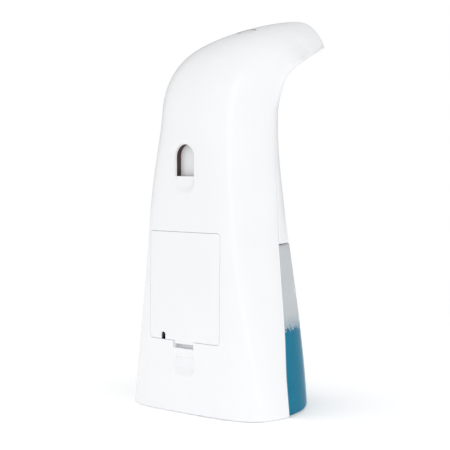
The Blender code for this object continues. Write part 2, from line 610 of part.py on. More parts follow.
# --- electronics ---------------------------------------------------------------------------
def make_electronics():
    board = block("main_board", (-17, 17), (16.5, 18.1), (98, 150), "circuit_board")
    combine(board, block("controller_chip", (-6, 6), (18.0, 19.6), (112, 124)), "UNION")
    combine(board, block("power_terminal", (-15, -7), (18.0, 21), (99, 106)), "UNION")
    point, outward = underside_point(SENSOR_Q)
    axis = oriented(outward)
    r = SENSOR_RADIUS
    turned("sensor_window", [(0, 0.1), (r - 0.3, 0.1), (r, -0.2), (r, -1.7), (0, -1.7)], (0, *point), axis,
           "black_window", 24)
    for side, name in ((-1, "ir_emitter"), (1, "ir_receiver")):
        led = [(0, -2.1), (1.0, -2.4), (1.4, -3.0), (1.4, -4.6), (0, -4.6)]
        turned(name, led, (1.9 * side, *point), axis, "black_window", 12)
    board = loft("sensor_board", [[(x, *(point - outward * d + np.array([outward[1], -outward[0]]) * a))
                                   for x, a in ((-6, -2.4), (6, -2.4), (6, 6), (-6, 6))] for d in (4.9, 5.9)],
                 "circuit_board")
    point, outward = crown_point(BUTTON_Q)
    axis = oriented(outward)
    b = BUTTON_RADIUS
    cap = [(0, 0.35), (b - 1.2, 0.3), (b - 0.3, 0.0), (b, -0.4), (b, -3.0), (2, -3.0), (2, -5.0), (0, -5.0)]
    turned("power_button", cap, (0, *point), axis, "white_abs", 28)
    across = np.array([outward[1], -outward[0]])
    for name, half, deep, finish in (("tact_switch", 3.0, (5.0 + BUTTON_TRAVEL + 0.2, 8.6), "dark_abs"),
                                     ("button_board", 7.0, (8.9, 10.1), "circuit_board")):
        loft(name, [[(x, *(point - outward * d + across * a))
                     for x, a in ((-half, -half), (half, -half), (half, half), (-half, half))] for d in deep],
             finish)


# --- bottle --------------------------------------------------------------------------------
def make_bottle():
    bottle = skin_solid("bottle", 0, 0, 0.6, 9, 44, "clear_bottle")
    combine(bottle, front_zone("front_zone_lower", GAP / 2, -5, BOTTLE_TOP_Z), "INTERSECT")
    hollow = skin_solid("bottle_hollow", BOTTLE_WALL, 0, 0.6, 9, 36)
    combine(hollow, front_zone("hollow_zone", GAP / 2 + BOTTLE_WALL, BOTTLE_WALL, BOTTLE_TOP_Z - BOTTLE_WALL),
            "INTERSECT")
    combine(bottle, hollow)
    seam_q = seam_line([COUPLING_Z / NECK_Z])[0, 0]
    up, top = (0, 0, 1), BOTTLE_TOP_Z
    combine(bottle, rod("bottle_filler_hole", FILLER["radius"], top - 7, top + 7, (0, FILLER["q"], 0), up))
    combine(bottle, rod("bottle_coupling_hole", COUPLING_RADIUS, -5, 5, (0, seam_q, COUPLING_Z), (0, 1, 0)))
    r = FILLER["radius"]
    plug = [(0, top - 4.4), (r - 0.6, top - 4.4), (r + 0.3, top - 3.6), (r + 0.3, top - 2.1),
            (r - GAP, top - 2.0), (r - GAP, top - 0.1), (0, top - 0.1)]
    turned("filler_plug", plug, (0, FILLER["q"], 0), up, "silicone")
    inset = BOTTLE_WALL + GAP
    soap = skin_solid("liquid_soap", inset, 0, 0.4, 7, 40, "blue_soap")
    combine(soap, front_zone("soap_zone", GAP / 2 + inset, inset, SOAP_LEVEL_Z), "INTERSECT")
    foot, axis, length = dip_tube_line()
    combine(soap, rod("soap_tube_clearance", DIP_TUBE_RADIUS + GAP, -9, length, foot, axis, sides=16))


def main():
    for old in list(bpy.data.objects):
        bpy.data.objects.remove(old, do_unlink=True)
    make_housing()
    make_front_cover()
    make_battery_door()
    make_base_plate()
    make_hook_parts()
    make_chassis()
    make_batteries()
    port_top = make_pump()
    make_foam_path(port_top)
    make_suction(port_top)
    make_electronics()
    make_bottle()


main()
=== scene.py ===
"""A foam soap dispenser with a penguin-shaped body: smooth moulded casing, battery door, hook opening,
clear bottle with blue soap, foam nozzle and the parts behind the door. Works in millimetres: a point is
(x, q, z), where the depth q is measured forwards from the wall plane, and world() turns it to metres."""

import bmesh
import bpy
import numpy as np
from mathutils import Matrix, Vector

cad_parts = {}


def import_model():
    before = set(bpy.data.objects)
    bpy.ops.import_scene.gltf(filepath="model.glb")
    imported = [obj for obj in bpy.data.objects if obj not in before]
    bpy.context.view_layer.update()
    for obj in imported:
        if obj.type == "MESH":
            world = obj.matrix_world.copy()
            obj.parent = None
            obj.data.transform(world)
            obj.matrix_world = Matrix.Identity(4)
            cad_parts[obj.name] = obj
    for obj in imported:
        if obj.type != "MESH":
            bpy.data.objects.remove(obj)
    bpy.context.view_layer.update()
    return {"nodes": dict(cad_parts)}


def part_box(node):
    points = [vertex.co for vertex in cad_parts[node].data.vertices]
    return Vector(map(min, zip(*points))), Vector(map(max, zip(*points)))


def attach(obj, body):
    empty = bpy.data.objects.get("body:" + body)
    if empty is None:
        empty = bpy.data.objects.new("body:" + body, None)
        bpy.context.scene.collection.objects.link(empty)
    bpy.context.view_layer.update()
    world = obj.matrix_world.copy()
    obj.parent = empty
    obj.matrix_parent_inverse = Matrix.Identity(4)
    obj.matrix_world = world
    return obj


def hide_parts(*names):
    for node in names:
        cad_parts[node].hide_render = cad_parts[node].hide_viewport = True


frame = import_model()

MM = 0.001
GAP = 0.3
CREASE_DEGREES = 38

# --- driving sizes of the skin -------------------------------------------------------------
HEIGHT, DEPTH, NECK_Z, WALL = 213.0, 112.6, 160.0, 2.2
BASE_ROUNDING = 0.5
FOOT_HEIGHT, FOOT_INSET = 0.6, 1.3    # the casing stands on a narrow set-back foot
PARTING_ROUNDING = 0.3
DOOR_GAP = 0.14

# Station t runs 0..1 from base to neck and 1..2 over the head to the beak tip.
HALF_WIDTH = ((0, 49.2), (0.62, 32.0), (1, 28.0), (1.3, 29.6), (1.6, 21.4), (2, 8.0))
WIDEST_AT = ((0, 0.31), (0.62, 0.43), (1, 0.56), (1.5, 0.48), (2, 0.88))
BACK_POWER = ((0, 3.7), (0.62, 6.0), (1, 2.9), (1.35, 2.25), (2, 1.8))
FRONT_POWER = ((0, 1.66), (0.62, 1.95), (1, 2.25), (1.5, 4.2), (2, 5.6))
SEAM_AT = ((0, 0.35), (0.12, 0.378), (0.27, 0.447), (0.55, 0.56), (0.94, 0.73), (1.3, 0.85), (1.6, 0.89),
           (1.85, 0.84), (2, 0.62))
TIP_ROUNDING_FROM, TIP_BLUNTNESS, HOLLOW_END = 1.86, 0.006, 1.84
CROWN = ((0, NECK_Z), (0, 201.3), (80.4, HEIGHT), (94.4, HEIGHT))
BEAK = ((94.4, HEIGHT), (96.8, HEIGHT), (100.6, 206.8), (DEPTH, 203.1))
FRONT = ((83.4, 0), (79.1, 90), (59.3, 120.5), (59.3, NECK_Z))
UNDERSIDE = ((59.3, NECK_Z), (59.3, 186), (56.1, 180), (112.1, 199.6))
UNDERSIDE_TAIL = 0.4

# --- features on the skin ------------------------------------------------------------------
COVER_EDGE_Z, BOTTLE_TOP_Z, BOTTLE_WALL, SOAP_LEVEL_Z = 89.5, 88.9, 1.7, 43.8
BOTTLE_FLOOR, MENISCUS = 0.6, 3.2    # thickness under the soap, and how far the soap clings above its level
DOOR_HALF_WIDTH, DOOR_Z, DOOR_CORNER, DOOR_EDGE_ROUNDING = 25.5, (38.5, 96.4), 2.0, 0.25
NOTCH_X, NOTCH_HALF_WIDTH, NOTCH_HEIGHT = 15.0, 1.5, 4.0
TAB_HALF_WIDTH, TAB_END_Z, LATCH_SLOT_Z = 6.9, 37.0, 34.6
RECESS_HALF_WIDTH, RECESS_BOTTOM_Z = 7.8, 19.5
BACKING_HALF_WIDTH, BACKING_Z = 9.6, (17.8, 38.2)    # thicker wall behind the latch and its finger recess
HOOK_HALF_WIDTH, HOOK_Z, HOOK_STOP_Q = 6.5, (125.7, 142.4), 5.4
LINING_Q, LINING_RIM = 2.2, 1.6
DISH_HALF_WIDTH, DISH_Z, DISH_DEPTH = 8.6, (114.6, 144.6), 1.8
BUTTON_Q, BUTTON_RADIUS = 50.0, 5.0
NOZZLE_Q, NOZZLE_RADIUS = 84.0, 6.4
SENSOR_Q, SENSOR_RADIUS = 97.0, 4.4
CELL_RADIUS, CELL_LENGTH, NUB_RADIUS = 5.15, 43.7, 1.9
FILLER_Q, FILLER_RADIUS = 58.0, 9.0
COUPLING_Z, COUPLING_RADIUS = 74.0, 3.0
BASE_SCREW_X, BASE_SCREW_Q = 30.0, 16.0

# --- camera ---------------------------------------------------------------------------------
VIEW_TURN = 42.7          # degrees round from straight behind, towards -X
VIEW_DISTANCE = 694.5     # from the back's centre line
VIEW_HEIGHT = 135.0
VIEW_TILT = 2.88          # degrees down
VIEW_ASIDE = 22.1         # how far the aim passes beside the back's centre line
FOCAL, SENSOR_WIDTH = 105.9, 36.0


# --- geometry of the skin ------------------------------------------------------------------
def bezier(points, t):
    """Points of a cubic curve: the four control points weighted by the Bernstein polynomials."""
    p = np.asarray(points, float)
    t = np.asarray(t, float)[:, None]
    return (1 - t) ** 3 * p[0] + 3 * (1 - t) ** 2 * t * p[1] + 3 * (1 - t) * t * t * p[2] + t ** 3 * p[3]


def law(knots, t):
    """A smooth value along the body: cubic pieces through the knots that never overshoot them."""
    xk, yk = np.array(knots, float).T
    step = np.diff(xk)
    rise = np.diff(yk) / step
    slope = np.r_[rise[0], np.zeros(len(xk) - 2), rise[-1]]
    for i in range(1, len(xk) - 1):
        if rise[i - 1] * rise[i] > 0:
            near, far = 2 * step[i] + step[i - 1], step[i] + 2 * step[i - 1]
            slope[i] = (near + far) / (near / rise[i - 1] + far / rise[i])
    i = np.clip(np.searchsorted(xk, t, side="right") - 1, 0, len(step) - 1)
    u = (t - xk[i]) / step[i]
    return ((1 + 2 * u) * (1 - u) ** 2 * yk[i] + u * (1 - u) ** 2 * step[i] * slope[i]
            + u * u * (3 - 2 * u) * yk[i + 1] + u * u * (u - 1) * step[i] * slope[i + 1])


def along(curves, share):
    """Points at shares 0..1 of the length of one or more cubic curves laid end to end."""
    u = np.linspace(0, 1, 800)
    pieces = [bezier(c, u) for c in curves]
    line = np.vstack([pieces[0]] + [p[1:] for p in pieces[1:]])
    length = np.r_[0, np.cumsum(np.hypot(*np.diff(line, axis=0).T))]
    length /= length[-1]
    return np.stack([np.interp(share, length, line[:, k]) for k in (0, 1)], 1)


def edges(t):
    """Ends (q, z) of each station's section: on the back or crown, and on the front or underside."""
    t = np.atleast_1d(np.asarray(t, float))
    back, front = np.zeros((len(t), 2)), np.zeros((len(t), 2))
    low = t <= 1
    back[low, 1] = front[low, 1] = t[low] * NECK_Z
    line = bezier(FRONT, np.linspace(0, 1, 800))
    front[low, 0] = np.interp(t[low] * NECK_Z, line[:, 1], line[:, 0])
    back[~low] = along((CROWN, BEAK), t[~low] - 1)
    front[~low] = along((UNDERSIDE,), t[~low] - 1)
    return back, front


def half_section(t, inset, samples=160):
    """Half of each section, from the back's middle round +X to the front's middle, moved in by inset.
    Two superellipse quarters meet at the widest line; each is drawn so that its ends are evenly filled."""
    back, front = edges(t)
    length = np.hypot(*(front - back).T)
    close = np.clip((t - TIP_ROUNDING_FROM) / (2 - TIP_ROUNDING_FROM), 0, 1)
    half = (law(HALF_WIDTH, t) * np.sqrt(1 - close ** 2.2 + TIP_BLUNTNESS) - inset)[:, None]
    span = length - 2 * inset
    widest = (law(WIDEST_AT, t) * span)[:, None]
    u = np.linspace(0, 1, samples)[None]

    def quarter(power):
        power = power[:, None]
        a, b = u ** (power / 2), (1 - u) ** (power / 2)
        size = np.hypot(a, b)
        return (a / size) ** (2 / power), (b / size) ** (2 / power)

    x_rear, y_rear = quarter(law(BACK_POWER, t))
    x_fore, y_fore = quarter(law(FRONT_POWER, t))
    x = np.hstack([half * x_rear, (half * x_fore)[:, -2::-1]])
    fore = widest + (span[:, None] - widest) * y_fore
    s = np.hstack([widest * (1 - y_rear), fore[:, -2::-1]])
    return x, s + inset[:, None], back, (front - back) / length[:, None], length


def skin_arc(t, inset, side, columns, trim):
    """Rows of points (x, q, z) evenly spaced along the rear or the front part of each section, which the
    parting line divides; trim is how far the arc stops short of that line."""
    t = np.asarray(t, float)
    inset = np.broadcast_to(np.asarray(inset, float), t.shape)
    x, s, back, toward, length = half_section(t, inset)
    run = np.hstack([np.zeros((len(t), 1)), np.cumsum(np.hypot(np.diff(x), np.diff(s)), axis=1)])
    seam = law(SEAM_AT, t) * length
    share = np.linspace(0, 1, columns // 2 + 1)
    rows = np.zeros((len(t), columns + 1, 2))
    for i in range(len(t)):
        middle = np.interp(seam[i], s[i], run[i])
        if side == "rear":
            want = share * max(middle - trim, 0.02)
        else:
            want = run[i, -1] - share * max(run[i, -1] - middle - trim, 0.02)
        px, ps = np.interp(want, run[i], x[i]), np.interp(want, run[i], s[i])
        rows[i, :, 0] = np.r_[-px[::-1], px[1:]]
        rows[i, :, 1] = np.r_[ps[::-1], ps[1:]]
    q = back[:, :1] + toward[:, :1] * rows[..., 1]
    z = back[:, 1:] + toward[:, 1:] * rows[..., 1]
    return np.stack([rows[..., 0], q, z], -1)


def back_depth(x, z):
    """How far the skin lies in front of the wall plane at a point of the back."""
    t = np.asarray(z, float) / NECK_Z
    back, front = edges(t)
    depth = law(WIDEST_AT, t) * (front[:, 0] - back[:, 0])
    power = law(BACK_POWER, t)
    wide = np.clip(np.abs(x) / law(HALF_WIDTH, t), 0, 1)
    return depth * (1 - (1 - wide ** power) ** (1 / power))


def seam_depth(z):
    """Depth q of the parting line at a height below the neck."""
    t = np.array([z / NECK_Z])
    back, front = edges(t)
    return float(law(SEAM_AT, t)[0] * (front - back)[0, 0])


def outline_point(curves, q, tail=0.0):
    """Point and outward direction (q, z) on a side-view outline at a depth q."""
    line = along(curves, np.linspace(tail, 1, 900))
    i = int(np.argmin(np.abs(line[:, 0] - q)))
    run = line[i + 1] - line[i - 1]
    run /= np.hypot(*run)
    outward = np.array([-run[1], run[0]]) * (1 if tail == 0 else -1)
    return line[i], outward


# --- object makers -------------------------------------------------------------------------
def world(points):
    p = np.asarray(points, float)
    return np.stack([p[..., 0], DEPTH / 2 - p[..., 1], p[..., 2]], -1) * MM


def direction(side_view):
    """World direction of a side-view direction (q, z)."""
    return Vector((0.0, -float(side_view[0]), float(side_view[1])))


def add_mesh(name, vertices, faces):
    """A closed mesh with its faces turned outwards, smooth shaded apart from sharp edges."""
    mesh = bpy.data.meshes.new(name)
    mesh.from_pydata(vertices.reshape(-1, 3).tolist(), [], faces)
    bm = bmesh.new()
    bm.from_mesh(mesh)
    bmesh.ops.remove_doubles(bm, verts=bm.verts, dist=1e-7)
    bmesh.ops.recalc_face_normals(bm, faces=bm.faces)
    bm.to_mesh(mesh)
    bm.free()
    mesh.shade_smooth()
    mesh.set_sharp_from_angle(angle=np.radians(CREASE_DEGREES))
    made = bpy.data.objects.new(name, mesh)
    bpy.context.scene.collection.objects.link(made)
    return made


def ring_faces(rows, columns):
    """Quads between each row of a grid and the next, each row closed on itself."""
    i, j = np.meshgrid(np.arange(rows - 1), np.arange(columns), indexing="ij")
    k = (j + 1) % columns
    quads = np.stack([i * columns + j, i * columns + k, (i + 1) * columns + k, (i + 1) * columns + j], -1)
    return quads.reshape(-1, 4).tolist()


def tube_grid(name, points, capped=True):
    """A solid through rows of ring points (rows, columns, 3) in metres, capped or closed end to end."""
    rows, columns = points.shape[:2]
    faces = ring_faces(rows, columns)
    if capped:
        faces += [list(range(columns)), list(range((rows - 1) * columns, rows * columns))]
    else:
        last = (rows - 1) * columns
        faces += [[last + j, last + (j + 1) % columns, (j + 1) % columns, j] for j in range(columns)]
    return add_mesh(name, points, faces)


def turned(name, profile, centre, axis, sides=96, steps=5):
    """A round piece: a profile of (radius, height, rounding) turned about an axis. Corners with a rounding
    become arcs; a profile that starts and ends off the axis closes on itself."""
    outline = rounded_profile(profile, steps)
    turn = np.linspace(0, 2 * np.pi, sides, endpoint=False)
    radius, height = outline[:, :1], outline[:, 1:]
    grid = np.stack([radius * np.cos(turn), radius * np.sin(turn), np.repeat(height, sides, 1)], -1) * MM
    on_axis = profile[0][0] == 0 and profile[-1][0] == 0
    made = tube_grid(name, grid, capped=on_axis)
    place = Matrix.Translation(Vector(world(centre)))
    made.data.transform(place @ Vector((0, 0, 1)).rotation_difference(Vector(axis)).to_matrix().to_4x4())
    return made


def rounded_profile(profile, steps):
    """Corner points (radius, height, rounding) with each rounded corner replaced by a short smooth curve."""
    points = []
    for i, (radius, height, rounding) in enumerate(profile):
        here = np.array([radius, height], float)
        if not rounding:
            points.append(here)
            continue
        before = np.array(profile[i - 1][:2], float) - here
        after = np.array(profile[(i + 1) % len(profile)][:2], float) - here
        start = here + before / np.hypot(*before) * rounding
        end = here + after / np.hypot(*after) * rounding
        u = np.linspace(0, 1, steps)[:, None]
        points.extend((1 - u) ** 2 * start + 2 * u * (1 - u) * here + u * u * end)
    return np.array(points)


def combine(target, other, how="DIFFERENCE"):
    """Cuts, joins or intersects target with another object, which is then removed."""
    step = target.modifiers.new(how.lower(), "BOOLEAN")
    step.operation = how
    step.solver = "EXACT"
    step.object = other
    settle(target)
    bpy.data.objects.remove(other)


def settle(piece):
    """Applies a piece's modifiers to its mesh."""
    shown = bpy.context.evaluated_depsgraph_get()
    mesh = bpy.data.meshes.new_from_object(piece.evaluated_get(shown), depsgraph=shown)
    piece.modifiers.clear()
    piece.data = mesh
    mesh.name = piece.name


def crease(piece, degrees=CREASE_DEGREES):
    """Shades a piece smooth except across edges that fold more sharply than an angle."""
    piece.data.set_sharp_from_angle(angle=np.radians(degrees))


def keep_skin_shading(piece, skin):
    """Gives the faces that still lie on the skin the uncut skin's own shading, so cuts leave no dents."""
    step = piece.modifiers.new("skin shading", "DATA_TRANSFER")
    step.object = skin
    step.use_loop_data = True
    step.data_types_loops = {"CUSTOM_NORMAL"}
    step.loop_mapping = "POLYINTERP_NEAREST"
    step.use_max_distance = True
    step.max_distance = 0.03 * MM
    settle(piece)


def rounded_rectangle(half_width, low, high, corner, lower_corner=None, steps=10):
    """Outline function: (x, z) points of a rounded rectangle that has grown outwards by some millimetres."""
    def outline(grow=0.0):
        points = []
        lower = corner if lower_corner is None else lower_corner
        wide, bottom, top = half_width + grow, low - grow, high + grow
        for x, z, radius, start in ((1, bottom, lower, -90), (1, top, corner, 0),
                                    (-1, top, corner, 90), (-1, bottom, lower, 180)):
            radius = min(radius + grow, wide - 1e-3)
            cx, cz = x * (wide - radius), z + (radius if z == bottom else -radius)
            a = np.radians(np.linspace(start, start + 90, steps))
            points.append(np.stack([cx + radius * np.cos(a), cz + radius * np.sin(a)], -1))
        return np.vstack(points)
    return outline


def arch(half_width, low, high, middle=0.0):
    """Outline function of a slot with a flat bottom and a half-round top."""
    def outline(grow=0.0):
        a = np.linspace(0, np.pi, 28)
        wide, bottom = half_width + grow, low - grow
        top = np.stack([middle + wide * np.cos(a), high - half_width + wide * np.sin(a)], -1)
        sides = 10
        left = np.stack([np.full(sides, middle - wide), np.linspace(top[-1, 1], bottom, sides + 1)[1:]], -1)
        right = np.stack([np.full(sides, middle + wide), np.linspace(bottom, top[0, 1], sides + 1)[:-1]], -1)
        return np.vstack([top, left, right])
    return outline


def densified(points, step=1.2):
    """An outline with its long straight sides divided, so that it can follow a curved surface."""
    closed = np.vstack([points, points[:1]])
    run = np.r_[0, np.cumsum(np.hypot(*np.diff(closed, axis=0).T))]
    extra = np.arange(0, run[-1], step)
    stations = np.unique(np.r_[run[:-1], extra].round(5))
    keep = np.r_[True, np.diff(stations) > 0.05]
    stations = stations[keep]
    return np.stack([np.interp(stations, run, closed[:, k]) for k in (0, 1)], -1)


def back_plug(name, outline, profile, flat=False):
    """A solid pushed into the back: rings of an outline at depths below the skin, as (depth, growth).
    With flat, depths count from the wall plane."""
    base = densified(outline(0.0))
    rings = []
    for depth, grow in profile:
        away = outline_shift(base, grow)
        q = (0 if flat else back_depth(*away.T)) + depth
        rings.append(np.stack([away[:, 0], np.broadcast_to(q, len(away)), away[:, 1]], -1))
    return tube_grid(name, world(np.array(rings)))


def outline_shift(points, grow):
    """An outline moved outwards by grow, each point along its own normal."""
    ahead, behind = np.roll(points, -1, 0), np.roll(points, 1, 0)
    run = ahead - behind
    run /= np.hypot(*run.T)[:, None]
    normal = np.stack([run[:, 1], -run[:, 0]], -1)
    area = np.sum(points[:, 0] * ahead[:, 1] - ahead[:, 0] * points[:, 1])
    return points + normal * grow * np.sign(area)


def edge_rounding(radius, steps=4):
    """(depth, growth) steps of a quarter round at the surface: the opening widens as it nears the skin."""
    a = np.linspace(0, np.pi / 2, steps)
    return [(radius * (1 - np.cos(x)), radius * (1 - np.sin(x))) for x in a]


# --- materials -----------------------------------------------------------------------------
def colour(hex_code):
    """An sRGB hex colour as linear RGBA."""
    parts = np.array([int(hex_code[i:i + 2], 16) for i in (1, 3, 5)]) / 255
    linear = np.where(parts <= 0.04045, parts / 12.92, ((parts + 0.055) / 1.055) ** 2.4)
    return (*linear.tolist(), 1.0)


def node(tree, kind, links=None, **settings):
    """Adds a node: settings name its properties or, failing that, its sockets; links feed its sockets."""
    made = tree.nodes.new(kind)
    for name, value in settings.items():
        if hasattr(made, name):
            setattr(made, name, value)
        else:
            made.inputs[name.replace("_", " ")].default_value = value
    for name, source in (links or {}).items():
        tree.links.new(source, made.inputs[name])
    return made


def material(name, base, roughness, **shader):
    """A material with its Principled shader, object coordinates and node tree to build on."""
    made = bpy.data.materials.new(name)
    made.use_nodes = True
    tree = made.node_tree
    principled = tree.nodes["Principled BSDF"]
    principled.inputs["Base Color"].default_value = colour(base)
    principled.inputs["Roughness"].default_value = roughness
    for socket, value in shader.items():
        principled.inputs[socket.replace("_", " ")].default_value = value
    made.diffuse_color = colour(base)
    return made, tree, principled, node(tree, "ShaderNodeTexCoord").outputs["Object"]


def per_metre(size_mm):
    """Texture scale whose features are about this many millimetres across."""
    return 1000.0 / size_mm


def mottle(tree, place, size_mm, low, high, detail=2.0):
    """Noise of a given size in millimetres, spread between two values."""
    noise = node(tree, "ShaderNodeTexNoise", {"Vector": place}, Scale=per_metre(size_mm), Detail=detail)
    return node(tree, "ShaderNodeMapRange", {"Value": noise.outputs["Fac"]}, From_Min=0.3, From_Max=0.7,
                To_Min=low, To_Max=high).outputs["Result"]


def relief(tree, principled, height, depth_mm, strength=1.0):
    """Bump from a height of 0 to 1 that stands for a real depth in millimetres."""
    bump = node(tree, "ShaderNodeBump", {"Height": height}, Strength=strength, Distance=depth_mm * MM)
    tree.links.new(bump.outputs["Normal"], principled.inputs["Normal"])


def tint(tree, principled, factor, first, second):
    """Base colour mixed from two hex colours by a factor."""
    mix = node(tree, "ShaderNodeMix", data_type="RGBA")
    mix.inputs[6].default_value = colour(first)
    mix.inputs[7].default_value = colour(second)
    tree.links.new(factor, mix.inputs[0])
    tree.links.new(mix.outputs[2], principled.inputs["Base Color"])


def gloss_abs():
    """Injection-moulded gloss ABS: an even cool white with soft reflections, a very faint long ripple
    from the cooling mould and slight differences of polish."""
    made, tree, principled, place = material("moulded_gloss_abs", "#F4F4F8", 0.2, IOR=1.53)
    tint(tree, principled, mottle(tree, place, 35, 0, 1), "#F3F4F6", "#F5F6F8")
    tree.links.new(mottle(tree, place, 14, 0.19, 0.26, 3.0), principled.inputs["Roughness"])
    relief(tree, principled, mottle(tree, place, 9, 0, 1, 1.0), 0.004)
    return made


def satin_abs(name, light, dark, roughness):
    """Moulded ABS from a spark-eroded tool: satin, with a fine grain drawn at 0.6 mm so that it shows."""
    made, tree, principled, place = material(name, light, roughness, IOR=1.53)
    tint(tree, principled, mottle(tree, place, 6, 0, 1), light, dark)
    tree.links.new(mottle(tree, place, 2, roughness - 0.05, roughness + 0.06), principled.inputs["Roughness"])
    relief(tree, principled, mottle(tree, place, 0.6, 0, 1), 0.02)
    return made


def frosted_bottle():
    """Blow-moulded clear PETG: milky where it is dry and coated with foam residue above the soap, clear
    where the soap wets it, with a ragged line of tinted froth just over the soap."""
    made, tree, principled, place = material("blow_moulded_petg", "#E6F2F0", 0.3, IOR=1.05,
                                           Specular_IOR_Level=0.2)
    split = node(tree, "ShaderNodeSeparateXYZ", {"Vector": place})
    ragged = mottle(tree, place, 1.3, -2.6 * MM, 2.6 * MM, 3.0)
    height = node(tree, "ShaderNodeMath", {0: split.outputs["Z"], 1: ragged}, operation="ADD")
    dry = node(tree, "ShaderNodeMapRange", {"Value": height.outputs[0]}, From_Min=(SOAP_LEVEL_Z + 0.3) * MM,
               From_Max=(SOAP_LEVEL_Z + 0.8) * MM).outputs["Result"]
    froth = node(tree, "ShaderNodeMapRange", {"Value": height.outputs[0]}, From_Min=(SOAP_LEVEL_Z + 8) * MM,
                 From_Max=SOAP_LEVEL_Z * MM).outputs["Result"]
    near = node(tree, "ShaderNodeMath", {0: dry, 1: froth}, operation="MULTIPLY").outputs[0]
    spots = mottle(tree, place, 1.1, 0.35, 1, 3.0)
    froth = node(tree, "ShaderNodeMath", {0: near, 1: spots}, operation="MULTIPLY").outputs[0]
    tint(tree, principled, froth, "#E2E6E9", "#A6C4D0")
    ranges = (("Roughness", dry, 0.08, 0.5), ("Transmission Weight", dry, 0.97, 0.4))
    for socket, factor, wet, frosted in ranges:
        level = node(tree, "ShaderNodeMapRange", {"Value": factor}, To_Min=wet, To_Max=frosted)
        tree.links.new(level.outputs["Result"], principled.inputs[socket])
    relief(tree, principled, mottle(tree, place, 1.5, 0, 1), 0.02)
    return made


def teal_soap():
    """Dyed liquid soap: a deep teal that reads almost solid through the bottle, a little paler in places."""
    made, tree, principled, place = material("dyed_liquid_soap", "#0082A8", 0.5, IOR=1.14,
                                           Specular_IOR_Level=0.0)
    tint(tree, principled, mottle(tree, place, 12, 0, 1, 4.0), "#007F9F", "#008AAC")
    return made


def dark_window():
    """Infrared-clear polycarbonate: black to the eye, polished."""
    made, tree, principled, place = material("infrared_polycarbonate", "#120F14", 0.06, IOR=1.585)
    tree.links.new(mottle(tree, place, 3, 0.05, 0.1), principled.inputs["Roughness"])
    return made


def silicone():
    """Moulded silicone rubber: milky, soft sheen, light passing a little way in."""
    made, tree, principled, place = material("moulded_silicone", "#DCDFE0", 0.45, IOR=1.41,
                                             Subsurface_Weight=0.3, Subsurface_Scale=0.003)
    tint(tree, principled, mottle(tree, place, 5, 0, 1), "#D6DADB", "#E4E7E8")
    relief(tree, principled, mottle(tree, place, 0.8, 0, 1), 0.01)
    return made


def plated_steel():
    """Nickel-plated spring steel: bright, with fine drawing lines 0.3 mm apart."""
    made, tree, principled, place = material("nickel_plated_steel", "#C3C4C6", 0.3, Metallic=1.0)
    stretched = node(tree, "ShaderNodeMapping", {"Vector": place}, Scale=(1.0, 1.0, 0.06))
    lines = mottle(tree, stretched.outputs["Vector"], 0.3, 0.22, 0.4)
    tree.links.new(lines, principled.inputs["Roughness"])
    return made


def circuit_board():
    """Fibreglass board under green solder mask: darker ground with copper tracks 1.2 mm apart showing."""
    made, tree, principled, place = material("solder_mask_board", "#1C5A34", 0.35, IOR=1.5)
    cells = node(tree, "ShaderNodeTexBrick", {"Vector": place}, Scale=per_metre(6), Mortar_Size=0.09,
                 Color1=colour("#1B5B35"), Color2=colour("#174F2D"), Mortar=colour("#3A8A4C"))
    tree.links.new(cells.outputs["Color"], principled.inputs["Base Color"])
    relief(tree, principled, cells.outputs["Fac"], 0.05)
    return made


def cell_wrap():
    """Shrink-wrapped battery sleeve: plain dark blue with a silver band near the top, no lettering."""
    made, tree, principled, place = material("battery_sleeve", "#24406E", 0.22, IOR=1.5)
    split = node(tree, "ShaderNodeSeparateXYZ", {"Vector": place})
    band = node(tree, "ShaderNodeMath", {0: split.outputs["Z"]}, operation="GREATER_THAN")
    band.inputs[1].default_value = 74 * MM
    tint(tree, principled, band.outputs[0], "#24406E", "#B9BEC6")
    tree.links.new(mottle(tree, place, 4, 0.18, 0.3), principled.inputs["Roughness"])
    return made


# --- casing --------------------------------------------------------------------------------
def bend(start, corner, end, steps=4):
    """Rows of rounded corners: quadratic curves between two arrays of points round an array of corners."""
    u = np.linspace(0, 1, steps + 2)[1:-1, None]
    bent = [(1 - k) ** 2 * start + 2 * k * (1 - k) * corner + k * k * end for k in u[:, 0]]
    return np.stack(bent, 1)


